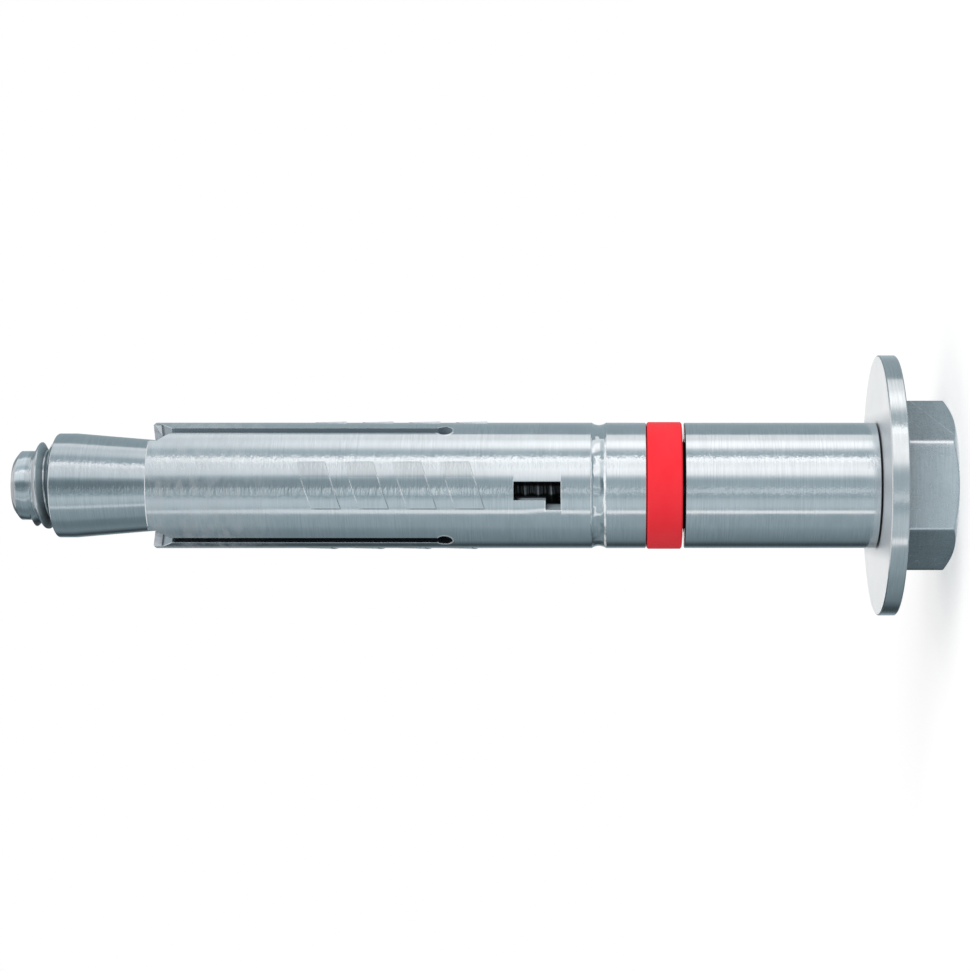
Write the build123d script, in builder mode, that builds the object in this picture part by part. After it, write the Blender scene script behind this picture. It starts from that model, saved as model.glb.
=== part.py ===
from build123d import *
import os
from math import radians, sqrt, tan

# Sleeve anchor, set by torque in a drilled hole. It stands on its hex head: the origin is the
# centre of the head's end face and +Z runs along the bolt to its tip. The viewer is at -Y, and
# angles about the axis are counted from -Y towards +X. Lengths are in millimetres.

# Hex bolt
thread_size = 10.0
thread_pitch = 1.5
hex_width = 17.0
head_height = 6.4
head_face_inset = 0.2
head_chamfer_angle = 25.0
plain_length = 31.6
point_diameter = 7.95
point_length = 1.75
tip_diameter = 6.4
tip_chamfer = 0.6
tip_protrusion = 4.65

# Washer
washer_diameter = 30.0
washer_thickness = 2.0
washer_clearance = 0.25
washer_edge = 0.12

# Tubes: the spacer sleeve and the expansion sleeve are the same stock
tube_wall = 1.95
tube_clearance = 0.3
tube_edge = 0.12
spacer_length = 22.13
sleeve_length = 56.5

# Crush ring
ring_length = 4.0
ring_clearance = 0.25
ring_proud = 0.075
ring_edge = 0.16

# Play between neighbours along the bolt
washer_play = 0.15
ring_play = 0.26
sleeve_play = 0.06

# Groove round the expansion sleeve
groove_setback = 5.45
groove_width = 1.65
groove_depth = 0.27

# L-shaped window in the expansion sleeve, its lower arm longer round the tube
window_setback = 9.7
window_height = 5.3
window_start_angle = -13.4
window_arc = 16.8
foot_height = 1.7
foot_arc = 8.9

# Barbs stamped on the legs: shallow ramps, highest on the side of the head, in slanted rows
barb_row_angles = (-104.0, 0.0, 104.0)
barb_count = 4
barb_pitch = 5.4
barb_setback = 20.8
barb_length = 3.3
barb_width = 5.3
barb_height = 0.14
barb_slant = 0.33

# Slots that part the front of the expansion sleeve into legs
slot_count = 3
slot_first_angle = 60.0
slot_width = 1.1
slot_length = 33.5
keyhole_diameter = 1.8
mouth_width = 3.8
mouth_depth = 1.0

# Cone nut
cone_entry = 1.3
cone_entry_clearance = 0.17
cone_angle = 4.8
cone_taper = 10.4
cone_land = 2.0
cone_chamfer_radial = 0.55
cone_chamfer_axial = 0.3
cone_bore_chamfer = 0.4
thread_clearance = 0.05

# Cutters reach this far past the wall that they cut
cut_over = 1.0

# Radii
shank_radius = thread_size / 2
tube_bore_radius = shank_radius + tube_clearance
tube_radius = tube_bore_radius + tube_wall
washer_bore_radius = shank_radius + washer_clearance
ring_bore_radius = shank_radius + ring_clearance
ring_radius = tube_radius + ring_proud

# The threads are drawn plain at the pitch diameter of a 60 degree thread
pitch_radius = shank_radius - 3 * sqrt(3) / 16 * thread_pitch
cone_bore_radius = pitch_radius + thread_clearance
cone_tip_radius = tube_bore_radius - cone_entry_clearance
cone_land_radius = cone_tip_radius + cone_taper * tan(radians(cone_angle))

# Heights, stacked from the head's end face
washer_base = head_height
spacer_base = washer_base + washer_thickness + washer_play
ring_base = spacer_base + spacer_length + ring_play
sleeve_base = ring_base + ring_length + sleeve_play
sleeve_front = sleeve_base + sleeve_length
cone_base = sleeve_front - cone_entry
land_base = cone_base + cone_taper
land_top = land_base + cone_land
cone_front = land_top + cone_chamfer_axial
bolt_tip = cone_front + tip_protrusion
point_base = bolt_tip - point_length
thread_base = head_height + plain_length

# Bolt: a hexagon whose end corners are turned off at a low angle, and a turned shank. The fillet
# under the head stays inside the washer's bore.
corner_radius = hex_width / sqrt(3)
face_radius = hex_width / 2 - head_face_inset
turned_radius = corner_radius + cut_over
turned_rise = (turned_radius - face_radius) * tan(radians(head_chamfer_angle))
neck_fillet = 0.8 * washer_clearance

with BuildPart() as hex_bolt:
    with BuildSketch():
        RegularPolygon(radius=hex_width / 2, side_count=6, major_radius=False)
    extrude(amount=head_height)
    with BuildSketch(Plane.XZ):
        with BuildLine():
            Polyline(
                (0, 0),
                (face_radius, 0),
                (turned_radius, turned_rise),
                (turned_radius, head_height),
                (0, head_height),
                close=True,
            )
        make_face()
    revolve(axis=Axis.Z, mode=Mode.INTERSECT)
    with BuildSketch(Plane.XZ):
        with BuildLine():
            Polyline(
                (0, head_height),
                (shank_radius, head_height),
                (shank_radius, thread_base),
                (pitch_radius, thread_base + shank_radius - pitch_radius),
                (pitch_radius, point_base - pitch_radius + point_diameter / 2),
                (point_diameter / 2, point_base),
                (point_diameter / 2, bolt_tip - tip_chamfer),
                (tip_diameter / 2, bolt_tip),
                (0, bolt_tip),
                close=True,
            )
        make_face()
    revolve(axis=Axis.Z)
    neck = hex_bolt.edges().filter_by(GeomType.CIRCLE).filter_by_position(
        Axis.Z, head_height, head_height
    )
    fillet(neck, radius=neck_fillet)

# Washer: a flat disc with its rim broken on both sides
with BuildPart() as washer:
    with BuildSketch(Plane.XY.offset(washer_base)):
        Circle(washer_diameter / 2)
        Circle(washer_bore_radius, mode=Mode.SUBTRACT)
    extrude(amount=washer_thickness)
    rim = washer.edges().filter_by(GeomType.CIRCLE).group_by(SortBy.RADIUS)[-1]
    chamfer(rim, length=washer_edge)

# Spacer sleeve: a plain length of tube with its edges broken
with BuildPart() as spacer_sleeve:
    with BuildSketch(Plane.XY.offset(spacer_base)):
        Circle(tube_radius)
        Circle(tube_bore_radius, mode=Mode.SUBTRACT)
    extrude(amount=spacer_length)
    chamfer(spacer_sleeve.edges().filter_by(GeomType.CIRCLE), length=tube_edge)

# Crush ring: moulded, a little proud of the tubes, with its edges broken
with BuildPart() as crush_ring:
    with BuildSketch(Plane.XY.offset(ring_base)):
        Circle(ring_radius)
        Circle(ring_bore_radius, mode=Mode.SUBTRACT)
    extrude(amount=ring_length)
    chamfer(crush_ring.edges().filter_by(GeomType.CIRCLE), length=ring_edge)

# Barbs: each is a ramp turned about the axis and cut to a slanted outline
barb_heights = [sleeve_base + barb_setback + barb_pitch * number for number in range(barb_count)]
barb_root_radius = tube_radius - tube_wall / 2
barb_lean = barb_slant * barb_width / 2
barb_reach = barb_length / 2 + barb_lean

with BuildPart() as barbs:
    with BuildSketch(Plane.XZ):
        with Locations(*[(0, height) for height in barb_heights]):
            Polygon(
                (barb_root_radius, -barb_reach),
                (tube_radius + barb_height, -barb_reach),
                (tube_radius, barb_reach),
                (barb_root_radius, barb_reach),
                align=None,
            )
    revolve(axis=Axis.Z)
    with BuildSketch(*[Plane.XZ.rotated((0, 0, angle)) for angle in barb_row_angles]):
        with Locations(*[(0, height) for height in barb_heights]):
            Polygon(
                (-barb_width / 2, -barb_length / 2 - barb_lean),
                (barb_width / 2, -barb_length / 2 + barb_lean),
                (barb_width / 2, barb_length / 2 + barb_lean),
                (-barb_width / 2, barb_length / 2 - barb_lean),
                align=None,
            )
    extrude(amount=tube_radius + cut_over, mode=Mode.INTERSECT)

# Expansion sleeve: a tube with a round-bottomed groove near its rear end
groove_base = sleeve_base + groove_setback - groove_width / 2
window_base = sleeve_base + window_setback
window_cuts = (
    (window_start_angle, window_arc, window_height),
    (window_start_angle - foot_arc, foot_arc, foot_height),
)
keyhole_height = sleeve_front - slot_length
mouth_base = sleeve_front - mouth_depth
mouth_taper_base = mouth_base - (mouth_width - slot_width) / 2
slot_angles = [slot_first_angle + 360 / slot_count * number for number in range(slot_count)]
slot_planes = [Plane.XZ.rotated((0, 0, angle)) for angle in slot_angles]

with BuildPart() as expansion_sleeve:
    with BuildSketch(Plane.XZ):
        with BuildLine():
            Polyline(
                (tube_radius, groove_base),
                (tube_radius, sleeve_base + tube_edge),
                (tube_radius - tube_edge, sleeve_base),
                (tube_bore_radius, sleeve_base),
                (tube_bore_radius, sleeve_front),
                (tube_radius - tube_edge, sleeve_front),
                (tube_radius, sleeve_front - tube_edge),
                (tube_radius, groove_base + groove_width),
            )
            SagittaArc(
                (tube_radius, groove_base),
                (tube_radius, groove_base + groove_width),
                groove_depth,
            )
        make_face()
    revolve(axis=Axis.Z)
    add(barbs.part)

    # The window is cut in two steps with walls that point at the axis
    for start_angle, arc, height in window_cuts:
        with BuildSketch(Plane.XZ.rotated((0, 0, start_angle - 90))):
            with Locations((tube_bore_radius - cut_over, window_base)):
                Rectangle(tube_wall + 2 * cut_over, height, align=Align.MIN)
        revolve(axis=Axis.Z, revolution_arc=arc, mode=Mode.SUBTRACT)

    # Each slot starts at a round keyhole and opens into a flared mouth at the front
    with BuildSketch(*slot_planes):
        with BuildLine():
            Polyline(
                (0, keyhole_height),
                (slot_width / 2, keyhole_height),
                (slot_width / 2, mouth_taper_base),
                (mouth_width / 2, mouth_base),
                (mouth_width / 2, sleeve_front + cut_over),
                (0, sleeve_front + cut_over),
            )
            mirror(about=Plane.YZ)
        make_face()
        with Locations((0, keyhole_height)):
            Circle(keyhole_diameter / 2)
    extrude(amount=tube_radius + cut_over, mode=Mode.SUBTRACT)

# Cone nut: its small end stands in the sleeve's mouth, ready to be drawn in
with BuildPart() as cone_nut:
    with BuildSketch(Plane.XZ):
        with BuildLine():
            Polyline(
                (cone_bore_radius, cone_base),
                (cone_tip_radius, cone_base),
                (cone_land_radius, land_base),
                (cone_land_radius, land_top),
                (cone_land_radius - cone_chamfer_radial, cone_front),
                (cone_bore_radius + cone_bore_chamfer, cone_front),
                (cone_bore_radius, cone_front - cone_bore_chamfer),
                close=True,
            )
        make_face()
    revolve(axis=Axis.Z)

hex_bolt.part.label = "hex_bolt"
washer.part.label = "washer"
spacer_sleeve.part.label = "spacer_sleeve"
crush_ring.part.label = "crush_ring"
expansion_sleeve.part.label = "expansion_sleeve"
cone_nut.part.label = "cone_nut"

os.makedirs("parts", exist_ok=True)
export_step(hex_bolt.part, "parts/hex_bolt.step")
export_step(washer.part, "parts/washer.step")
export_step(spacer_sleeve.part, "parts/spacer_sleeve.step")
export_step(crush_ring.part, "parts/crush_ring.step")
export_step(expansion_sleeve.part, "parts/expansion_sleeve.step")
export_step(cone_nut.part, "parts/cone_nut.step")
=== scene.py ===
import math

import bmesh
import bpy
from mathutils import Matrix, Vector


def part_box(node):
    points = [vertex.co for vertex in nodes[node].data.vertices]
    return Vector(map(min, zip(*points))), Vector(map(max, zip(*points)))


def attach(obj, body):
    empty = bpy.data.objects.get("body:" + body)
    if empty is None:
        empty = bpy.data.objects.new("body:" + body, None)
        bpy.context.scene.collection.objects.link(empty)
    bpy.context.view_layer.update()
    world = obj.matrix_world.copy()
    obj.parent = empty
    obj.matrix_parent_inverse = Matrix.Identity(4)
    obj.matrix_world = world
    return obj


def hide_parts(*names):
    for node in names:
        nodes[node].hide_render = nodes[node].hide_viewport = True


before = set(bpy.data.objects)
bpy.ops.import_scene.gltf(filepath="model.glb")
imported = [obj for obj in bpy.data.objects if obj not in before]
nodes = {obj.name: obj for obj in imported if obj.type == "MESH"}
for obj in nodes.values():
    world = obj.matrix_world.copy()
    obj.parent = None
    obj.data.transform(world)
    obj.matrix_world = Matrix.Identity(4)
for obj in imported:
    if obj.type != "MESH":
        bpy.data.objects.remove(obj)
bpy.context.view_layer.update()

# A sleeve anchor that stands on its hex head, with its tip up along +Z and its window towards -Y. The
# camera lies on its side: right in the picture is -Z, and up is +X. Angles round the bolt are counted
# from -Y towards +X. Sizes, and places in the materials, are in millimetres, and meshes in metres.
MM = 0.001

# Hex bolt
THREAD_RADIUS = 5.0
THREAD_DEPTH = 0.925
PITCH = 1.5
THREAD_START = 38.0
RUN_OUT_SLOPE = 0.6
HEX_WIDTH = 17.0
HEAD_FACE_RADIUS = 8.3
HEAD_CHAMFER_SLOPE = math.tan(math.radians(25))
HEAD_EDGE_ROUNDING = 0.16
NECK_FILLET = 0.2
POINT_RADIUS = 3.975
POINT_LENGTH = 1.75
TIP_RADIUS = 3.2
TIP_CHAMFER = 0.6

# The shoulder, where the thread is turned down to the point, and how far it leans to one side
SHOULDER_LENGTH = 1.1
SHOULDER_SLOPE = 1.6
SHOULDER_SKEW = 0.45

# How far from the tip the last full crest lies, at the lower side of the picture
LAST_CREST = 3.59

# Cone nut
CONE_SMALL_RADIUS = 5.13
CONE_LAND = 2.0
CONE_CHAMFER_RADIAL = 0.55
CONE_CHAMFER_AXIAL = 0.3
NUT_MAJOR_RADIUS = 5.07
NUT_MINOR_RADIUS = 4.19
COUNTERSINK_RADIUS = 5.0

# Expansion sleeve, with angles in degrees
TUBE_RADIUS = 7.25
GROOVE_SETBACK = 5.45
GROOVE_REACH = 0.75
WINDOW_SETBACK = 9.7
WINDOW_HEIGHT = 5.3
WINDOW_UPPER_ANGLE = 3.4
FOOT_HEIGHT = 1.7
BARB_SETBACK = 20.8
BARB_PITCH = 5.4
BARB_SLANT = 0.33
BARB_ROW_LENGTH = 3.4 * BARB_PITCH
SLOT_ANGLE = 60.0
SLOT_LENGTH = 33.5
KEYHOLE_RADIUS = 0.9
MOUTH_DEPTH = 1.0
MOUTH_TAPER = 1.35

# Columns of faces round a mesh, and the distances in metres within which its points are one
COLUMNS = 96
MERGE_DISTANCE = 1.5e-7
SAME_PLACE = 1e-7


def node_span(name):
    """Lowest and highest point of a node along the bolt, in millimetres."""
    low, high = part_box(name)
    return low.z / MM, high.z / MM


# Heights of the pieces, read from the frame
head_bottom, bolt_tip = node_span("hex_bolt")
head_top, washer_front = node_span("washer")
spacer_front = node_span("spacer_sleeve")[1]
ring_middle = sum(node_span("crush_ring")) / 2
sleeve_rear, sleeve_front = node_span("expansion_sleeve")
cone_small_end, cone_large_end = node_span("cone_nut")
cone_land_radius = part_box("cone_nut")[1].x / MM

# Heights of their features
point_base = bolt_tip - POINT_LENGTH
crest_height = bolt_tip - LAST_CREST
groove_centre = sleeve_rear + GROOVE_SETBACK
window_base = sleeve_rear + WINDOW_SETBACK
window_top = window_base + WINDOW_HEIGHT
foot_top = window_base + FOOT_HEIGHT
first_barb = sleeve_rear + BARB_SETBACK
keyhole_height = sleeve_front - SLOT_LENGTH
mouth_base = sleeve_front - MOUTH_DEPTH
mouth_taper_base = mouth_base - MOUTH_TAPER


# Mesh helpers
def ring_point(radius, angle, height):
    """A point in metres, given by its radius, its angle in radians and its height."""
    return Vector((radius * math.sin(angle), -radius * math.cos(angle), height)) * MM


def column_angles():
    """The angles of a row's points, once round from the lower side of the picture."""
    return [2 * math.pi * c / COLUMNS - math.pi / 2 for c in range(COLUMNS + 1)]


def turns_round(angle):
    """How far round the bolt an angle is, in turns from the lower side of the picture."""
    return (angle + math.pi / 2) / (2 * math.pi)


def helix_phase(height, angle):
    """Distance along the bolt from the nearest crest of the right-hand thread."""
    turn = (height - crest_height) / PITCH - turns_round(angle)
    return (turn - round(turn)) * PITCH


def interpolate(table, x):
    """The value at x on the straight runs between a table's points."""
    for (x0, y0), (x1, y1) in zip(table, table[1:]):
        if x <= x1:
            return y0 + (y1 - y0) * (x - x0) / (x1 - x0)
    return table[-1][1]


# Half profiles of the threads: distance along the bolt from the crest's middle, and radius
BOLT_THREAD = [
    (0.0, THREAD_RADIUS),
    (0.06, THREAD_RADIUS - 0.005),
    (0.115, THREAD_RADIUS - 0.045),
    (0.60, THREAD_RADIUS - THREAD_DEPTH + 0.04),
    (0.66, THREAD_RADIUS - THREAD_DEPTH + 0.005),
    (PITCH / 2, THREAD_RADIUS - THREAD_DEPTH),
]
NUT_THREAD = [
    (0.0, NUT_MAJOR_RADIUS),
    (0.13, NUT_MAJOR_RADIUS),
    (0.64, NUT_MINOR_RADIUS),
    (PITCH / 2, NUT_MINOR_RADIUS),
]


def helical_rows(start, end, table, limit):
    """Rows of points that follow the thread's helix and end in flat rings at start and end."""
    offsets = sorted({round(s * x, 4) for x, _ in table for s in (-1, 1)} - {-PITCH / 2})
    first = math.floor((start - crest_height) / PITCH) - 2
    last = math.ceil((end - crest_height) / PITCH) + 1
    rows = []
    for turn in range(first, last + 1):
        for offset in offsets:
            row = []
            for angle in column_angles():
                height = crest_height + PITCH * (turn + turns_round(angle)) + offset
                height = min(max(height, start), end)
                radius = interpolate(table, abs(helix_phase(height, angle)))
                row.append(ring_point(limit(height, radius, angle), angle, height))
            rows.append(row)
    return rows


def plain_row(radius, height):
    """A ring whose radius and height are numbers or functions of the angle."""
    row = []
    for angle in column_angles():
        r = radius(angle) if callable(radius) else radius
        h = height(angle) if callable(height) else height
        row.append(ring_point(r, angle, h))
    return row


def cap(bm, row):
    """A flat face across the opening that an end row has left."""
    height = row[0].z
    reach = row[0].to_2d().length + SAME_PLACE
    rim = [v for v in bm.verts if abs(v.co.z - height) < SAME_PLACE and v.co.to_2d().length <= reach]
    rim.sort(key=lambda v: math.atan2(v.co.y, v.co.x))
    bm.faces.new(rim)


def linked_object(name, data):
    """A new object in the scene."""
    made = bpy.data.objects.new(name, data)
    bpy.context.scene.collection.objects.link(made)
    return made


def mesh_from_rows(name, rows, closed=False):
    """A solid of revolution, or a threaded one, from rows of points. Points that coincide are merged."""
    bm = bmesh.new()
    grid = [[bm.verts.new(p) for p in row] for row in rows]
    pairs = list(zip(grid, grid[1:]))
    if closed:
        pairs.append((grid[-1], grid[0]))
    for low, high in pairs:
        for c in range(COLUMNS):
            bm.faces.new((low[c], low[c + 1], high[c + 1], high[c]))
    bmesh.ops.remove_doubles(bm, verts=bm.verts, dist=MERGE_DISTANCE)
    bmesh.ops.dissolve_degenerate(bm, edges=bm.edges, dist=SAME_PLACE)
    if not closed:
        cap(bm, rows[0])
        cap(bm, rows[-1])
    bmesh.ops.recalc_face_normals(bm, faces=bm.faces)
    mesh = bpy.data.meshes.new(name)
    bm.to_mesh(mesh)
    bm.free()
    return linked_object(name, mesh)


def round_edges(piece, pick, width):
    """Round the edges that pick chooses."""
    bm = bmesh.new()
    bm.from_mesh(piece.data)
    edges = [e for e in bm.edges if pick(e)]
    bmesh.ops.bevel(bm, geom=edges, offset=width * MM, segments=2, profile=0.5,
                    affect="EDGES", clamp_overlap=True)
    bmesh.ops.recalc_face_normals(bm, faces=bm.faces)
    bm.to_mesh(piece.data)
    bm.free()


def smooth(piece, degrees):
    """Shade a piece smooth, apart from edges that are sharper than an angle."""
    piece.data.shade_smooth()
    piece.data.set_sharp_from_angle(angle=math.radians(degrees))


# Hex bolt
def hexagon_radius(angle):
    """Outline of the hexagon, with a flat facing the camera."""
    step = math.radians(60)
    off = (angle + step / 2) % step - step / 2
    return HEX_WIDTH / 2 / math.cos(off)


def chamfer_height(angle):
    """Where the chamfer turned on the head's end meets the hexagon."""
    return head_bottom + (hexagon_radius(angle) - HEAD_FACE_RADIUS) * HEAD_CHAMFER_SLOPE


def bolt_limit(height, radius, angle):
    """The thread runs out into the shank, and is turned down to the point a little askew, which
    leaves a tooth of its last turn standing on one side."""
    run_out = THREAD_RADIUS - RUN_OUT_SLOPE * max(0.0, height - THREAD_START)
    askew = SHOULDER_SKEW * max(0.0, -math.sin(angle)) ** 4
    past_shoulder = max(0.0, height - (point_base - SHOULDER_LENGTH + askew))
    turned = THREAD_RADIUS - SHOULDER_SLOPE * past_shoulder
    return min(max(radius, run_out), max(turned, POINT_RADIUS))


def bolt_rows():
    """The bolt from the end face of its head to its tip. The corners of its point are broken by a few
    hundredths of a millimetre."""
    tip_base = bolt_tip - TIP_CHAMFER
    return [
        plain_row(HEAD_FACE_RADIUS, head_bottom),
        plain_row(hexagon_radius, chamfer_height),
        plain_row(hexagon_radius, head_top),
        plain_row(THREAD_RADIUS + NECK_FILLET, head_top),
        plain_row(THREAD_RADIUS + 0.3 * NECK_FILLET, head_top + 0.3 * NECK_FILLET),
        plain_row(THREAD_RADIUS, head_top + NECK_FILLET),
        *helical_rows(THREAD_START, point_base, BOLT_THREAD, bolt_limit),
        plain_row(POINT_RADIUS, point_base + 0.03),
        plain_row(POINT_RADIUS, tip_base - 0.05),
        plain_row(POINT_RADIUS - 0.05, tip_base + 0.04),
        plain_row(TIP_RADIUS + 0.08, bolt_tip - 0.04),
        plain_row(TIP_RADIUS, bolt_tip),
    ]


def head_edge(edge):
    """True for the sharp edges of the hexagon and its chamfer."""
    for vert in edge.verts:
        above_head = vert.co.z > (head_top + 0.001) * MM
        if above_head or vert.co.to_2d().length < (HEAD_FACE_RADIUS - 0.1) * MM:
            return False
    return edge.is_manifold and edge.calc_face_angle() > math.radians(12)


bolt = mesh_from_rows("bolt_with_thread", bolt_rows())
round_edges(bolt, head_edge, HEAD_EDGE_ROUNDING)
smooth(bolt, 32)
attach(bolt, "bolt")
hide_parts("hex_bolt")


# Cone nut
def nut_limit(height, radius, angle):
    """The thread opens into a countersink of 45 degrees at both ends."""
    inset = min(cone_large_end - height, height - cone_small_end)
    return max(radius, COUNTERSINK_RADIUS - inset)


def cone_rows():
    """The nut's bore, then its chamfered front, its land and its taper."""
    land_top = cone_large_end - CONE_CHAMFER_AXIAL
    return [
        *helical_rows(cone_small_end, cone_large_end, NUT_THREAD, nut_limit),
        plain_row(cone_land_radius - CONE_CHAMFER_RADIAL, cone_large_end),
        plain_row(cone_land_radius - 0.04, land_top + 0.02),
        plain_row(cone_land_radius, land_top - 0.06),
        plain_row(cone_land_radius, land_top - CONE_LAND),
        plain_row(CONE_SMALL_RADIUS, cone_small_end),
    ]


cone = mesh_from_rows("cone_nut_with_thread", cone_rows(), closed=True)
smooth(cone, 24)
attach(cone, "cone")
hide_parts("cone_nut")

# Materials
EDGE_ROUNDING = 0.10
SHADER_SAMPLES = 6
WHITE = (1.0, 1.0, 1.0, 1)
# Painted shade for gaps and corners
PAINTED_SHADE = (0.03, 0.035, 0.04, 1)
# Painted shade beside the crush ring's gap
GAP_SHADE_LINE = (0.05, 0.05, 0.06, 1)
# Painted shade deep in the slots
DEEP_SLOT_SHADE = (0.015, 0.02, 0.025, 1)
# Painted highlight on the head's corners and end face
STEEL_HIGHLIGHT = (0.95, 0.97, 1.0, 1)
# Painted highlight on burrs and the barbs' edges
BURR_HIGHLIGHT = (0.95, 0.98, 1.0, 1)


class Nodes:
    """Short hand for building the node tree of a material or the world."""

    def __init__(self, owner, output):
        owner.use_nodes = True
        self.owner = owner
        self.tree = owner.node_tree
        self.tree.nodes.clear()
        self.output = self.add(output)

    def add(self, kind, inputs=None, **settings):
        """A new node, with values or links for its inputs."""
        node = self.tree.nodes.new(kind)
        for key, value in settings.items():
            setattr(node, key, value)
        for key, value in (inputs or {}).items():
            self.put(node.inputs[key], value)
        return node

    def put(self, socket, value):
        """Link a socket to another, or set its value."""
        if isinstance(value, bpy.types.NodeSocket):
            self.tree.links.new(value, socket)
        else:
            socket.default_value = value

    def show(self, shader):
        """Make a shader node what is seen."""
        self.put(self.output.inputs["Surface"], shader.outputs[0])

    def cover(self, factor, shader):
        """Lay a shader over the one that is seen so far."""
        under = plugged(self.output.inputs["Surface"])
        self.show(self.add("ShaderNodeMixShader", {0: factor, 1: under, 2: shader}))

    def math(self, operation, a, b=0.0, c=0.0):
        node = self.add("ShaderNodeMath", operation=operation)
        for socket, value in zip(node.inputs, (a, b, c)):
            self.put(socket, value)
        return node.outputs[0]

    def total(self, *values):
        result = values[0]
        for value in values[1:]:
            result = self.math("ADD", result, value)
        return result

    def product(self, *values):
        result = values[0]
        for value in values[1:]:
            result = self.math("MULTIPLY", result, value)
        return result

    def minus(self, a, b):
        return self.math("SUBTRACT", a, b)

    def larger(self, a, b):
        return self.math("MAXIMUM", a, b)

    def absolute(self, value):
        return self.math("ABSOLUTE", value)

    def hypotenuse(self, a, b):
        return self.math("SQRT", self.total(self.product(a, a), self.product(b, b)))

    def remap(self, value, low, high, to_low=0.0, to_high=1.0, soft=False):
        """Take low to to_low and high to to_high, and hold the value at either end."""
        node = self.add("ShaderNodeMapRange", {
            "Value": value, "From Min": low, "From Max": high, "To Min": to_low, "To Max": to_high,
        })
        if soft:
            node.interpolation_type = "SMOOTHSTEP"
        return node.outputs["Result"]

    def between(self, value, low, high, edge):
        """1 where the value lies between low and high, with soft edges."""
        return self.product(self.remap(value, low - edge, low, soft=True),
                            self.remap(value, high, high + edge, 1.0, 0.0, soft=True))

    def split(self, vector):
        node = self.add("ShaderNodeSeparateXYZ", {0: vector})
        return node.outputs[0], node.outputs[1], node.outputs[2]

    def joined(self, x, y, z):
        return self.add("ShaderNodeCombineXYZ", {0: x, 1: y, 2: z}).outputs[0]

    def grey(self, value):
        return self.joined(value, value, value)

    def multiplied(self, a, b):
        """The product of two colours or vectors."""
        return self.add("ShaderNodeVectorMath", {0: a, 1: b}, operation="MULTIPLY").outputs[0]

    def blend(self, factor, a, b):
        """From colour a at 0 to colour b at 1."""
        node = self.add("ShaderNodeMix", data_type="RGBA")
        self.put(node.inputs[0], factor)
        self.put(node.inputs[6], a)
        self.put(node.inputs[7], b)
        return node.outputs[2]


class Surface(Nodes):
    """The material of a piece, with where a shaded point lies on it: x, y and z, its distance from the
    bolt's axis, its angle round the bolt in degrees, and how far it faces the tip, from -1 to 1."""

    def __init__(self, name):
        super().__init__(bpy.data.materials.new(name), "ShaderNodeOutputMaterial")
        point = self.add("ShaderNodeTexCoord").outputs
        self.place = self.multiplied(point["Object"], (1 / MM, 1 / MM, 1 / MM))
        self.x, self.y, self.z = self.split(self.place)
        self.radius = self.hypotenuse(self.x, self.y)
        turned = self.math("ARCTAN2", self.x, self.product(self.y, -1.0))
        self.around = self.product(turned, 180 / math.pi)
        self.facing = self.split(point["Normal"])[2]
        self.plating = None

    def noise(self, stretch, scale=1.0, detail=2.0, roughness=0.5):
        """Noise over the piece, finer along an axis that has more stretch."""
        return self.add("ShaderNodeTexNoise", {
            "Vector": self.multiplied(self.place, stretch), "Scale": scale, "Detail": detail,
            "Roughness": roughness,
        }).outputs["Fac"]

    def bump(self, height, distance, normal=None):
        """Tilt a normal as a height does that reaches the distance in millimetres at 1."""
        node = self.add("ShaderNodeBump", {"Height": height, "Distance": distance * MM})
        if normal is not None:
            self.put(node.inputs["Normal"], normal)
        return node.outputs["Normal"]

    def bevel(self, radius):
        """A normal that rounds the piece's edges."""
        return self.add("ShaderNodeBevel", {"Radius": radius * MM}, samples=SHADER_SAMPLES).outputs[0]

    def respaced(self, normal, start, end):
        """A normal of one space as it is in another."""
        return self.add("ShaderNodeVectorTransform", {0: normal}, vector_type="NORMAL",
                        convert_from=start, convert_to=end).outputs[0]

    def ironed(self, normal):
        """Take the small tilts along the bolt out of a normal, such as those of the barbs' low ramps."""
        x, y, z = self.split(self.respaced(normal, "WORLD", "OBJECT"))
        keep = self.remap(self.absolute(z), 0.05, 0.15)
        return self.respaced(self.joined(x, y, self.product(z, keep)), "OBJECT", "WORLD")

    def openness(self, distance):
        """1 in the open, 0 deep in a gap or slot."""
        node = self.add("ShaderNodeAmbientOcclusion", {"Distance": distance * MM},
                        samples=SHADER_SAMPLES)
        return node.outputs["AO"]

    def matte(self, colour):
        """A dull surface, such as a sheared wall, or one that carries painted shade or a painted
        highlight.
        """
        return self.add("ShaderNodeBsdfPrincipled", {
            "Base Color": colour, "Roughness": 0.6, "Specular IOR Level": 0.2,
        }).outputs[0]


def plugged(socket):
    """What is linked to a socket."""
    return socket.links[0].from_socket


def scaled(colour, factor):
    """A colour made darker or paler, up to white."""
    return tuple(min(1.0, c * factor) for c in colour) + (1,)


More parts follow.
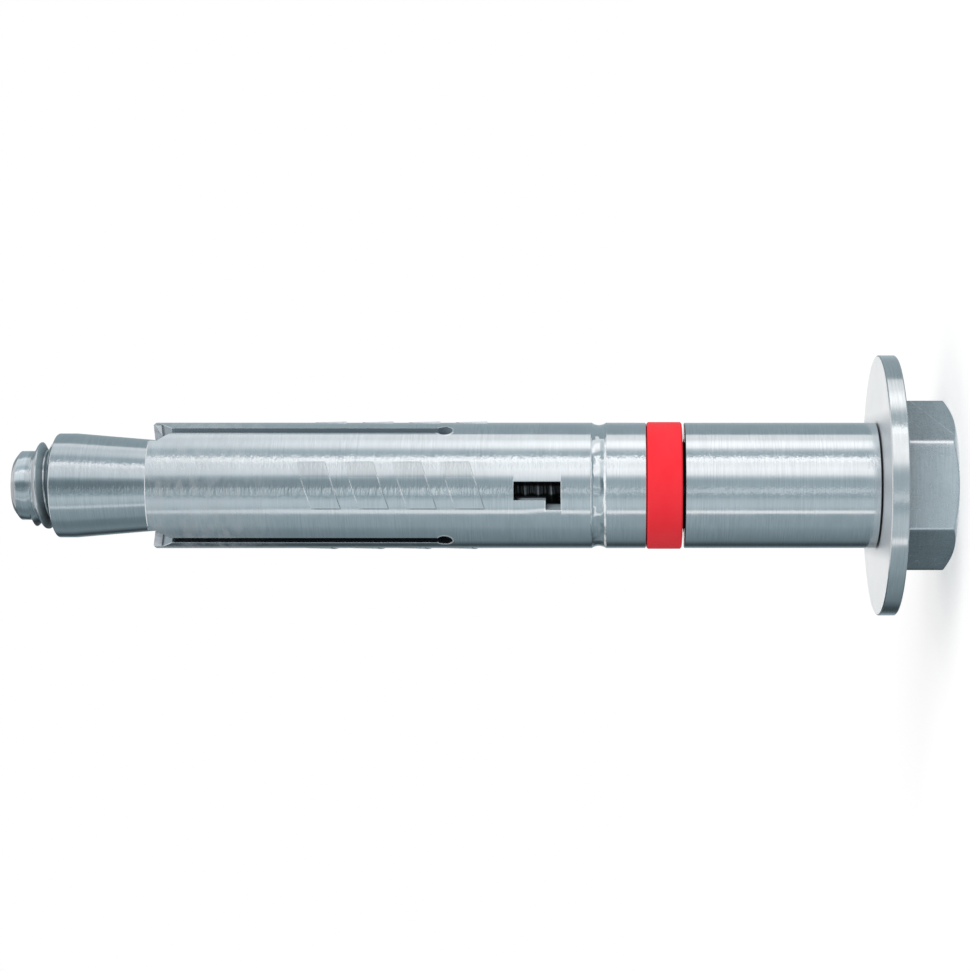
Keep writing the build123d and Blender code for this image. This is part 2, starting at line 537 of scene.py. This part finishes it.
def zinc_steel(name, colour, roughness, jitter=0.010, relief=None, tint=None):
    """Bright zinc plating over turned or drawn steel. The bands that it reflects have jagged edges
    where the drawing tool has left marks, on the upper side and along the middle. A piece's own tint
    changes the paint, and its relief is a height in millimetres."""
    n = Surface(name)
    lines = n.noise((0.3, 0.3, 6.0))
    blotches = n.noise((0.35, 0.35, 0.45), detail=3.0, roughness=0.6)
    patches = n.remap(n.noise((0.25, 0.25, 0.35), detail=1.0), 0.45, 0.62)
    marks = n.noise((1.3, 1.3, 2.6), detail=3.0, roughness=0.65)

    hatch = n.product(n.remap(lines, 0.3, 0.7, -0.08, 0.08), n.total(n.product(patches, 0.6), 0.3))
    tone = n.total(hatch, n.remap(blotches, 0.3, 0.7, -0.035, 0.035))
    paint = n.blend(n.remap(tone, -0.05, 0.05), scaled(colour, 0.94), scaled(colour, 1.05))
    if tint is not None:
        paint = tint(n, paint)

    # Painted shade darkens the gaps, but not the head's end face, where only the floor is near
    unshaded = n.remap(n.openness(0.7), 0.30, 0.72, 0.10, 1.0, soft=True)
    unshaded = n.larger(unshaded, n.remap(n.z, head_bottom + 1.5, head_bottom + 1.0))
    paint = n.blend(unshaded, PAINTED_SHADE, paint)

    drawn = n.total(n.between(n.around, 17, 29, 4), n.between(n.around, -9, -2, 3))
    depth = n.total(n.product(patches, 0.35), n.product(drawn, 3.2), 0.15)
    normal = n.ironed(n.bevel(EDGE_ROUNDING))
    normal = n.bump(n.product(lines, n.remap(patches, 0, 1, 0.2, 1.0)), 0.001, normal)
    normal = n.bump(n.product(n.minus(marks, 0.5), depth), jitter, normal)
    if relief is not None:
        normal = n.bump(relief(n), 1.0, normal)

    n.plating = n.add("ShaderNodeBsdfPrincipled", {
        "Base Color": paint, "Metallic": 1.0, "Normal": normal,
        "Roughness": n.remap(blotches, 0.3, 0.7, roughness - 0.02, roughness + 0.03),
    })
    n.show(n.plating)
    return n


# Looks of the bolt
def on_head(n):
    """1 on the head, 0 past it."""
    return n.remap(n.z, head_top, head_top + 0.05, 1.0, 0.0)


def head_corner(n):
    """1 along the hexagon's six corners."""
    off = n.absolute(n.math("WRAP", n.around, 30.0, -30.0))
    return n.remap(off, 28.9, 29.5)


def scratches(n):
    """How bright the hairlines on the head are, and the long scratch beside its upper corner."""
    wander = n.noise((0.22, 0.22, 0.35), detail=1.0)
    hairline = n.math("LESS_THAN", n.absolute(n.minus(wander, 0.52)), 0.004)
    hairlines = n.product(hairline, n.remap(n.noise((0.5, 0.5, 0.5)), 0.5, 0.6), 0.35)
    long_scratch = n.product(
        n.between(n.minus(n.x, n.z), 5.20, 5.26, 0.05),
        n.math("LESS_THAN", n.y, 0.0),
        n.remap(n.x, 5.0, 5.3),
        n.remap(n.noise((1.0, 1.0, 1.0)), 0.35, 0.55),
        0.45,
    )
    return n.total(hairlines, long_scratch)


def head_shade(n):
    """Painted light and shade: the head pales towards its end face, most of all on the flat that faces
    the camera.
    """
    front_flat = n.between(n.around, -30, 30, 1)
    pale = n.product(n.remap(n.z, head_top, 0.8, 0.60, 0.98), n.remap(front_flat, 0, 1, 1.0, 1.22))
    return n.blend(on_head(n), WHITE, n.grey(n.total(pale, scratches(n))))


def point_shade(n):
    """Painted light pales the point's upper side. Its chamfer and the torn end of the thread are darker.
    """
    point = n.remap(n.z, point_base, point_base + 0.05)
    lit = n.product(point, n.remap(n.around, 4, 10), 0.22)
    torn = n.between(n.z, point_base - 1.5, point_base - 0.1, 0.1)
    darkening = n.total(n.product(point, 0.48), n.product(torn, 0.27))
    darkened = n.product(n.remap(n.facing, 0.25, 0.60), darkening)
    return n.grey(n.minus(n.total(lit, 1.0), darkened))


def bolt_tint(n, paint):
    """The paint with its painted light and shade, and painted highlights along the head's corners and on
    its end face.
    """
    paint = n.multiplied(n.multiplied(paint, head_shade(n)), point_shade(n))
    highlighted = n.larger(n.remap(n.facing, -0.4, -0.8), n.product(head_corner(n), 0.65))
    return n.blend(n.product(highlighted, on_head(n)), paint, STEEL_HIGHLIGHT)


def forge_head(n):
    """Make the head's faces rough and grainy, and less so along its corners."""
    head = on_head(n)
    grain = n.noise((1.1, 1.1, 1.1), scale=1.5, detail=5.0, roughness=0.7)
    roughness = n.plating.inputs["Roughness"]
    added = n.product(head, n.remap(grain, 0.35, 0.65, 0.08, 0.16))
    n.put(roughness, n.total(plugged(roughness), added))
    normal = n.plating.inputs["Normal"]
    faces = n.product(head, n.minus(1.0, n.product(head_corner(n), 0.8)))
    n.put(normal, n.bump(n.product(grain, faces), 0.03, plugged(normal)))


def dull_flanks(n):
    """Cover the flanks that face the nut with matte grey, with painted shade that deepens towards the
    root and the lower side.
    """
    flank = n.product(n.remap(n.facing, -0.25, -0.55), n.remap(n.z, THREAD_START, THREAD_START + 1))
    tone = n.blend(n.remap(n.radius, 4.15, 4.95), (0.12, 0.16, 0.18, 1), (0.31, 0.41, 0.45, 1))
    shade = n.grey(n.remap(n.around, -60, 20, 0.35, 1.0))
    n.cover(n.product(flank, 0.9), n.matte(n.multiplied(tone, shade)))


def paint_shank_shade(n):
    """Cover the bolt inside the tubes with painted shade, nearly black, and painted highlights along the
    middle and on the thread's crests."""
    inside = n.between(n.z, washer_front + 0.2, sleeve_front + 0.5, 1.0)
    streaks = n.remap(n.noise((0.3, 0.3, 7.0)), 0.42, 0.70)
    crest = n.product(n.remap(n.radius, 4.93, 4.98), n.between(n.z, THREAD_START, sleeve_front, 1.0))
    shine = n.total(n.product(streaks, 0.24), n.product(crest, 0.24))
    shank_highlight = n.product(n.between(n.around, -10, -3, 4), shine)
    n.cover(inside, n.matte(n.multiplied(n.grey(n.total(shank_highlight, 0.010)), (0.85, 1.0, 1.1))))


def bolt_zinc():
    """The bolt: rough forged head, smooth point, and a length inside the tubes painted dark as shade."""
    n = zinc_steel("bolt_zinc", (0.64, 0.68, 0.71), roughness=0.17, jitter=0.008, tint=bolt_tint)
    forge_head(n)
    dull_flanks(n)
    paint_shank_shade(n)
    return n.owner


# Looks of the cone nut, the washer and the spacer sleeve
def cone_zinc():
    """The cone nut: turned smooth, and a little darker than the tubes."""
    return zinc_steel("cone_zinc", (0.68, 0.72, 0.75), roughness=0.13).owner


def washer_tint(n, paint):
    """The punched faces are paler than the rim, and the rim's front edge is dull."""
    paint = n.blend(n.between(n.facing, 0.35, 0.85, 0.1), paint, (0.66, 0.69, 0.71, 1))
    return n.blend(n.remap(n.absolute(n.facing), 0.8, 0.95), paint, WHITE)


def washer_zinc():
    """The washer: punched faces, duller than its rim, and dullest beside the tube."""
    n = zinc_steel("washer_zinc", (0.74, 0.77, 0.79), roughness=0.14, jitter=0.006, tint=washer_tint)
    face = n.remap(n.absolute(n.facing), 0.6, 0.9)
    roughness = n.plating.inputs["Roughness"]
    n.put(roughness, n.total(plugged(roughness), n.product(face, 0.28)))
    beside_tube = n.remap(n.absolute(n.x), TUBE_RADIUS - 0.05, TUBE_RADIUS + 1.15, 0.5, 0.0)
    n.cover(n.product(face, beside_tube), n.matte((0.56, 0.60, 0.64, 1)))
    return n.owner


def spacer_tint(n, paint):
    """A dark line of painted shade round the edge beside the crush ring."""
    return n.blend(n.remap(n.z, spacer_front - 0.13, spacer_front - 0.10), paint, GAP_SHADE_LINE)


def spacer_zinc():
    """The spacer sleeve: bright drawn tube."""
    return zinc_steel("spacer_zinc", (0.73, 0.77, 0.80), roughness=0.11, tint=spacer_tint).owner


# Looks of the expansion sleeve
def cut_wall(n, depth=0.13):
    """1 on the walls of the cuts through the tube, below its outer surface."""
    return n.remap(n.radius, TUBE_RADIUS - 0.06, TUBE_RADIUS - depth)


def keyhole_rim(n, softness):
    """1 on the burr round the nearest keyhole."""
    off = n.math("WRAP", n.minus(n.around, SLOT_ANGLE), 60.0, -60.0)
    across = n.product(off, math.radians(1) * TUBE_RADIUS)
    distance = n.hypotenuse(n.minus(n.z, keyhole_height), across)
    rim = n.between(distance, KEYHOLE_RADIUS + 0.05, KEYHOLE_RADIUS + 0.13, softness)
    return n.product(rim, n.remap(n.radius, TUBE_RADIUS - 0.12, TUBE_RADIUS - 0.06))


def barb_places(n):
    """Distances along the slanted row of barbs, from the first barb and from the nearest one."""
    from_first = n.minus(n.minus(n.z, n.product(n.x, BARB_SLANT)), first_barb)
    return from_first, n.math("WRAP", from_first, BARB_PITCH / 2, -BARB_PITCH / 2)


def barb_shade(n):
    """How much painted shade darkens the upper half of the row of barbs, most of all on the barbs' faces,
    and how dark the painted shadow line is along their lower side."""
    from_first, place = barb_places(n)
    row = n.between(from_first, -3.0, BARB_ROW_LENGTH, 0.5)
    face = n.remap(n.between(place, -1.5, 1.5, 0.2), 0, 1, 0.05, 0.15)
    upper = n.product(face, n.between(n.around, 8, 21, 1))
    side = n.product(n.between(n.x, -2.70, -2.62, 0.03), n.between(place, -1.5, 1.1, 0.3), 0.35)
    lower = n.product(side, n.between(n.around, -40, -5, 5))
    return n.product(row, n.total(upper, lower))


def barb_glint(n):
    """How much painted highlight brightens the slanted edges of the barbs that face the camera."""
    from_first, place = barb_places(n)
    row = n.product(n.between(from_first, -2.0, BARB_ROW_LENGTH, 0.1), n.math("LESS_THAN", n.y, 0.0))
    front = n.product(n.between(place, 1.60, 1.68, 0.06), n.between(n.x, -1.6, 0.3, 0.7), 0.5)
    rear = n.product(n.between(place, -1.70, -1.62, 0.05), n.between(n.x, -0.5, 1.0, 0.5), 0.7)
    return n.product(n.larger(front, rear), row)


def rolled_corner(n):
    """1 on the bright triangle that the shear has rolled at the front of the upper mouth's wall."""
    depth = n.remap(n.radius, TUBE_RADIUS, TUBE_RADIUS - 1.45, 0.0, -1.0)
    length = n.remap(n.z, mouth_base + 0.12, sleeve_front - 0.05, -1.0, 0.0)
    return n.product(
        cut_wall(n, 0.12),
        n.math("GREATER_THAN", depth, length),
        n.remap(n.z, mouth_base + 0.08, mouth_base + 0.12),
        n.math("GREATER_THAN", n.x, 3.0),
    )


def window_relief(n):
    """Heights beside the window: the surface is turned down above it and drawn up below it."""
    beside = n.between(n.z, window_base, window_top, 0.06)
    rise = n.remap(n.around, 11.0, WINDOW_UPPER_ANGLE, 0.0, 0.19)
    above = n.product(beside, rise, rise, n.math("GREATER_THAN", n.around, 0.0))
    below = n.product(
        n.remap(n.around, -29, -15, 0.0, 0.045),
        n.remap(n.around, -13, -8, 1.0, 0.0),
        n.remap(n.z, window_base + 4.6, window_base + 1.6, soft=True),
        n.remap(n.z, window_base - 0.05, window_base),
    )
    return n.total(above, below)


def sleeve_relief(n):
    """Heights beside the window, on the rolled corner of the upper slot's mouth, on the burrs round
    the keyholes, and in the hammered bottom of the groove."""
    corner = n.product(rolled_corner(n), n.minus(6.6, n.radius))
    burr = n.product(keyhole_rim(n, 0.14), 0.025)
    groove = n.between(n.z, groove_centre - GROOVE_REACH, groove_centre + GROOVE_REACH, 0.15)
    hammered = n.product(n.noise((0.5, 0.5, 0.7), detail=1.0), 0.22, groove)
    return n.total(window_relief(n), corner, burr, hammered)


def drawn_shine(n):
    """How much brighter the middle of the legs is: a painted highlight, broken up by the drawing marks.
    """
    marks = n.remap(n.noise((0.3, 0.3, 5.0)), 0.35, 0.62, 0.0, 0.45)
    middle = n.between(n.around, -7.5, -3.5, 2.5)
    return n.product(marks, middle, n.remap(n.z, window_base + 6, window_base + 12))


def window_rim_highlights(n):
    """1 on the painted highlights along the rims at the window's rear end and beside its foot."""
    rear = n.product(n.between(n.z, window_base - 0.15, window_base, 0.03),
                     n.between(n.around, -23.5, WINDOW_UPPER_ANGLE + 0.2, 0.3))
    foot = n.product(n.between(n.z, foot_top, foot_top + 0.13, 0.03), n.between(n.around, -24, -14, 0.3))
    return n.larger(rear, foot)


def sleeve_tint(n, paint):
    """Barbs in painted shade, painted highlights in the drawing marks along the middle of the legs and on
    the rims beside the window, darker shoulders of the mouths, and a painted shadow line at their
    corners."""
    # Painted shade on the barbs, and a painted highlight along the middle of the legs
    barbs = n.minus(1.0, barb_shade(n))
    paint = n.multiplied(paint, n.grey(n.total(barbs, drawn_shine(n))))
    # Painted highlights on the window's rims
    paint = n.blend(window_rim_highlights(n), paint, WHITE)
    shoulder = n.product(cut_wall(n), n.between(n.z, mouth_taper_base, mouth_base - 0.05, 0.05))
    paint = n.blend(n.product(shoulder, 0.75), paint, (0.25, 0.32, 0.35, 1))
    # Painted shadow line in the corners of the mouths
    corner = n.product(cut_wall(n), n.between(n.z, mouth_base - 0.14, mouth_base + 0.08, 0.05))
    return n.blend(n.product(corner, 0.9), paint, PAINTED_SHADE)


def dull_leg_ends(n):
    """Cover the front ends of the legs, where handling has dulled them in patches."""
    handled = n.remap(n.noise((0.6, 0.6, 1.2), detail=3.0), 0.35, 0.65, 0.05, 0.35)
    leg_ends = n.product(n.remap(n.z, sleeve_front - 16, sleeve_front - 9), handled)
    n.cover(leg_ends, n.matte((0.50, 0.54, 0.57, 1)))


def shade_cuts(n):
    """Cover the walls of the slots and the window with a matte finish, coloured with painted shade that
    is nearly black deep in the cuts. Those that face the light are paler with painted light: the upper
    slot's, and the lower ones of the window and its foot."""
    cut = n.product(cut_wall(n), n.between(n.z, window_base - 0.5, mouth_taper_base - 0.05, 0.05))
    ahead = n.remap(n.z, window_base + 6, window_base + 7)
    upper_slot = n.product(n.remap(n.x, 2.0, 3.0), ahead)
    foot = n.product(n.remap(n.x, -2.08, -2.18), n.remap(ahead, 0, 1, 1.0, 0.0))
    along_arm = n.between(n.z, foot_top + 0.05, window_base + 4.2, 0.9)
    arm = n.product(n.between(n.x, -2.0, -1.45, 0.07), along_arm)
    colour = n.blend(upper_slot, DEEP_SLOT_SHADE, (0.24, 0.31, 0.36, 1))
    colour = n.blend(n.larger(foot, n.product(arm, 0.9)), colour, (0.34, 0.41, 0.46, 1))
    n.cover(n.product(cut, 0.9), n.matte(colour))


def press_mouths(n):
    """Cover the mouths' walls with pale, mottled metal, and thinly on the rolled corner."""
    mouth = n.product(cut_wall(n), n.remap(n.z, mouth_base + 0.06, mouth_base + 0.12))
    mottled = n.remap(n.noise((1.6, 1.6, 1.6)), 0.3, 0.7, 0.75, 1.1)
    pressed = n.multiplied(n.grey(mottled), (0.72, 0.76, 0.82))
    n.cover(n.product(mouth, n.remap(rolled_corner(n), 0, 1, 0.75, 0.2)), n.matte(pressed))


def paint_burr_highlights(n):
    """Cover the burrs that catch the light with painted highlights: the groove's rear rim, the
    keyholes' and the barbs'.
    """
    patchy = n.remap(n.noise((0.9, 0.9, 0.9)), 0.38, 0.56, 0.25, 1.0)
    glint_patches = n.remap(n.noise((1.5, 1.5, 1.5), detail=1.0), 0.3, 0.6, 0.3, 1.0)
    rim = n.between(n.z, groove_centre - 0.84, groove_centre - 0.64, 0.05)
    groove = n.product(rim, n.between(n.around, -85, 36, 8), patchy)
    keyhole = n.product(keyhole_rim(n, 0.05), n.remap(n.x, -3, 3, 0.4, 0.2))
    barb = n.product(barb_glint(n), glint_patches, 0.6)
    burr_highlights = n.larger(n.larger(groove, keyhole), barb)
    n.cover(n.product(burr_highlights, 0.8), n.matte(BURR_HIGHLIGHT))


def sleeve_zinc():
    """The expansion sleeve: bright drawn tube with rough cuts in painted shade, dull leg ends and painted
    highlights on the burrs.
    """
    n = zinc_steel("sleeve_zinc", (0.75, 0.79, 0.82), roughness=0.12, relief=sleeve_relief,
                   tint=sleeve_tint)
    dull_leg_ends(n)
    shade_cuts(n)
    press_mouths(n)
    paint_burr_highlights(n)
    return n.owner


# Looks of the crush ring
def red_plastic():
    """The crush ring: satin moulded plastic, with painted shade where it meets the tubes, most of all at
    its rear.
    """
    n = Surface("red_plastic_moulded")
    grain = n.noise((1.0, 1.0, 1.0), scale=7.0, detail=3.0)
    cloud = n.noise((0.3, 0.3, 0.5))
    paint = n.blend(n.remap(cloud, 0.3, 0.7), (0.99, 0.032, 0.048, 1), (1.0, 0.040, 0.057, 1))
    front_half = n.remap(n.z, ring_middle, ring_middle + 0.1)
    # Painted shade in the gaps beside the tubes, darkest at the ring's rear
    gap = n.blend(front_half, (0.02, 0.0, 0.002, 1), (0.28, 0.03, 0.03, 1))
    n.show(n.add("ShaderNodeBsdfPrincipled", {
        "Base Color": n.blend(n.remap(n.openness(0.5), 0.45, 0.75, soft=True), gap, paint),
        "Roughness": n.remap(grain, 0.3, 0.7, 0.42, 0.52),
        "Specular IOR Level": 0.15,
        "Normal": n.bump(grain, 0.004),
    }))
    return n.owner


def dress(piece, material):
    """Give a new piece its only material."""
    piece.data.materials.append(material)


def dress_node(name, material):
    """Give a node of the frame another material."""
    for slot in nodes[name].material_slots:
        slot.material = material


dress(bolt, bolt_zinc())
dress(cone, cone_zinc())
dress_node("washer", washer_zinc())
dress_node("spacer_sleeve", spacer_zinc())
dress_node("expansion_sleeve", sleeve_zinc())
dress_node("crush_ring", red_plastic())

# Camera. Its image plane is parallel to the bolt, and its axis meets the bolt beside the groove.
CAMERA_DISTANCE = 260.0
CAMERA_HEIGHT = 38.7

# The picture's longer side in millimetres at the bolt, and in pixels, and how far the picture's middle
# lies from the camera's axis, in pixels
PICTURE_WIDTH = 112.15
PICTURE_PIXELS = 971
OFFSET_RIGHT = -129.0
OFFSET_UP = -0.1


def build_camera():
    data = bpy.data.cameras.new("camera")
    data.sensor_width = 36.0
    data.lens = data.sensor_width * CAMERA_DISTANCE / PICTURE_WIDTH
    data.shift_x = OFFSET_RIGHT / PICTURE_PIXELS
    data.shift_y = OFFSET_UP / PICTURE_PIXELS
    data.clip_start = 0.01
    data.clip_end = 20.0
    made = linked_object("camera", data)
    made.matrix_world = Matrix((
        (0, 1, 0, 0),
        (0, 0, -1, -CAMERA_DISTANCE * MM),
        (-1, 0, 0, CAMERA_HEIGHT * MM),
        (0, 0, 0, 1),
    ))
    return made


bpy.context.scene.camera = build_camera()
bpy.context.scene.view_settings.view_transform = "Standard"

# Light
AMBIENT = 0.62
KEY_STRENGTH = 0.5 * math.pi
KEY_SOFTNESS = math.radians(50)
KEY_AZIMUTH = math.radians(40)
KEY_ELEVATION = math.radians(25)


def build_world():
    """White where it is seen, also in metal and through glass, and dimmer as a light."""
    n = Nodes(bpy.data.worlds.new("studio"), "ShaderNodeOutputWorld")
    ray = n.add("ShaderNodeLightPath").outputs
    seen = n.larger(n.larger(ray["Is Camera Ray"], ray["Is Glossy Ray"]), ray["Is Transmission Ray"])
    strength = n.remap(seen, 0.0, 1.0, AMBIENT, 1.0)
    n.show(n.add("ShaderNodeBackground", {"Color": WHITE, "Strength": strength}))
    return n.owner


def build_key():
    """A soft key light from the front, above and to the upper side of the picture."""
    data = bpy.data.lights.new("key", "SUN")
    data.energy = KEY_STRENGTH
    data.angle = KEY_SOFTNESS
    made = linked_object("key", data)
    out = math.cos(KEY_ELEVATION)
    towards = Vector((math.sin(KEY_AZIMUTH) * out, -math.cos(KEY_AZIMUTH) * out, math.sin(KEY_ELEVATION)))
    made.matrix_world = towards.to_track_quat("Z", "Y").to_matrix().to_4x4()
    made.visible_glossy = False


bpy.context.scene.world = build_world()
build_key()

# Studio tent of soft boxes and grey cards, upright round the bolt. Only the metal's reflections show
# it. Each stop is an angle from the camera towards +X, the grey there near the floor, and the grey
# higher up, which the cone and the bolt's point reflect.
TENT_PANELS = {
    "grey card behind, lower side": [(-172, 0.40, 0.38), (-160, 0.37, 0.27)],
    "black flag": [(-152, 0.15, 0.12), (-144, 0.06, 0.05), (-136, 0.07, 0.09), (-128, 0.14, 0.19)],
    "dim card": [(-120, 0.21, 0.26), (-100, 0.27, 0.21), (-88, 0.31, 0.23), (-80, 0.36, 0.33)],
    "grey card": [(-57, 0.40, 0.38), (-53, 0.45, 0.42)],
    "strip light": [(-52, 1.00, 0.74), (-47, 1.00, 0.74)],
    "pale card": [(-46, 0.48, 0.46), (-38, 0.60, 0.58), (-28, 0.58, 0.62), (-18, 0.40, 0.33)],
    "faint strip beside the camera": [(-15, 0.49, 0.33), (-11, 0.76, 0.34), (-8, 0.67, 0.22)],
    "card round the camera": [(-4, 0.48, 0.20), (8, 0.44, 0.22), (12, 0.50, 0.30), (16, 0.70, 0.44)],
    "large soft box": [(20, 1.04, 0.70), (30, 1.18, 0.77), (40, 1.06, 0.79), (45, 1.12, 0.92)],
    "lamp at its edge": [(46, 1.34, 1.12), (52, 1.42, 1.16)],
    "card between the boxes": [(53, 0.50, 0.54), (62, 0.49, 0.46), (68, 0.70, 0.50)],
    "side soft box": [(73, 1.14, 0.66), (80, 1.30, 0.74), (86, 1.20, 0.72), (92, 0.93, 0.72)],
    "white card": [(100, 0.92, 0.86), (105, 0.88, 0.90)],
    "grey card behind": [(107, 0.37, 0.38), (128, 0.39, 0.39), (144, 0.40, 0.39)],
    "paler card behind": [(160, 0.50, 0.40), (172, 0.56, 0.46)],
}
TENT_BOTTOM = 0.38

# The tent's radius and the heights of its rows, in metres. Each row has a share of the way from the
# grey near the floor to the grey higher up. No column of faces is wider than the step, in degrees.
TENT_RADIUS = 0.9
TENT_ROWS = [(-0.9, 0.0), (0.05, 0.0), (0.28, 1.0), (1.1, 1.0)]
TENT_STEP = 4

# How much a dark grey leans in red, green and blue
TENT_CAST = (-0.26, 0.04, 0.17)


def tent_colour(grey):
    """The colour of a grey, which is bluer the darker it is."""
    shade = max(0.0, 1.0 - grey)
    return tuple(grey * (1 + cast * shade) for cast in TENT_CAST) + (1.0,)


def tent_stops():
    """The stops of all panels, with steps between them."""
    given = [stop for panel in TENT_PANELS.values() for stop in panel]
    stops = []
    for before, after in zip(given, given[1:]):
        steps = max(1, math.ceil((after[0] - before[0]) / TENT_STEP))
        stops += [[a + (b - a) * s / steps for a, b in zip(before, after)] for s in range(steps)]
    return stops + [given[-1]]


def tent_point(degrees, height):
    """A point of the tent's wall, in metres."""
    angle = math.radians(degrees)
    return TENT_RADIUS * math.sin(angle), -TENT_RADIUS * math.cos(angle), height


def tent_mesh():
    """The tent's wall and bottom, with the light of each corner in a colour layer."""
    bm = bmesh.new()
    light = bm.loops.layers.float_color.new("light")
    stops = tent_stops()
    grid = [[bm.verts.new(tent_point(stop[0], height)) for stop in stops] for height, _ in TENT_ROWS]
    for row in range(len(TENT_ROWS) - 1):
        for c in range(len(stops) - 1):
            corners = [(row, c), (row, c + 1), (row + 1, c + 1), (row + 1, c)]
            face = bm.faces.new([grid[i][j] for i, j in corners])
            for loop, (i, j) in zip(face.loops, corners):
                _, near_floor, higher_up = stops[j]
                loop[light] = tent_colour(near_floor + (higher_up - near_floor) * TENT_ROWS[i][1])
    bottom = bm.faces.new(grid[0])
    for loop in bottom.loops:
        loop[light] = tent_colour(TENT_BOTTOM)
    mesh = bpy.data.meshes.new("studio_tent")
    bm.to_mesh(mesh)
    bm.free()
    return mesh


def tent_light():
    """A material that glows as the tent's colour layer says."""
    n = Nodes(bpy.data.materials.new("tent_light"), "ShaderNodeOutputMaterial")
    layer = n.add("ShaderNodeVertexColor", layer_name="light")
    n.show(n.add("ShaderNodeEmission", {"Color": layer.outputs["Color"]}))
    n.owner.cycles.emission_sampling = "NONE"
    return n.owner


tent = linked_object("studio_tent", tent_mesh())
tent.data.materials.append(tent_light())
tent.visible_camera = False
tent.visible_diffuse = False
tent.visible_shadow = False
tent.visible_transmission = False

# Floor, with its half width and its gap below the head in metres. The gap keeps the two faces apart.
FLOOR_REACH = 4.0
FLOOR_GAP = 0.00002
FLOOR_GLOW = 0.47


def floor_white():
    """Plain pale floor. It glows to the camera alone, so that it looks white and keeps the shadow."""
    n = Surface("floor_white")
    tone = n.blend(n.noise((0.02, 0.02, 0.02)), (0.69, 0.69, 0.69, 1), (0.71, 0.71, 0.71, 1))
    pale = n.add("ShaderNodeBsdfDiffuse", {"Color": tone})
    seen = n.add("ShaderNodeLightPath").outputs["Is Camera Ray"]
    glow = n.add("ShaderNodeEmission", {"Strength": n.product(seen, FLOOR_GLOW)})
    n.show(n.add("ShaderNodeAddShader", {0: pale.outputs[0], 1: glow.outputs[0]}))
    n.owner.cycles.emission_sampling = "NONE"
    return n.owner


def floor_mesh():
    mesh = bpy.data.meshes.new("floor")
    signs = ((-1, -1), (1, -1), (1, 1), (-1, 1))
    mesh.from_pydata([(x * FLOOR_REACH, y * FLOOR_REACH, 0) for x, y in signs], [], [(0, 1, 2, 3)])
    return mesh


floor = linked_object("floor", floor_mesh())
floor.location.z = -FLOOR_GAP
floor.data.materials.append(floor_white())
floor.visible_glossy = False
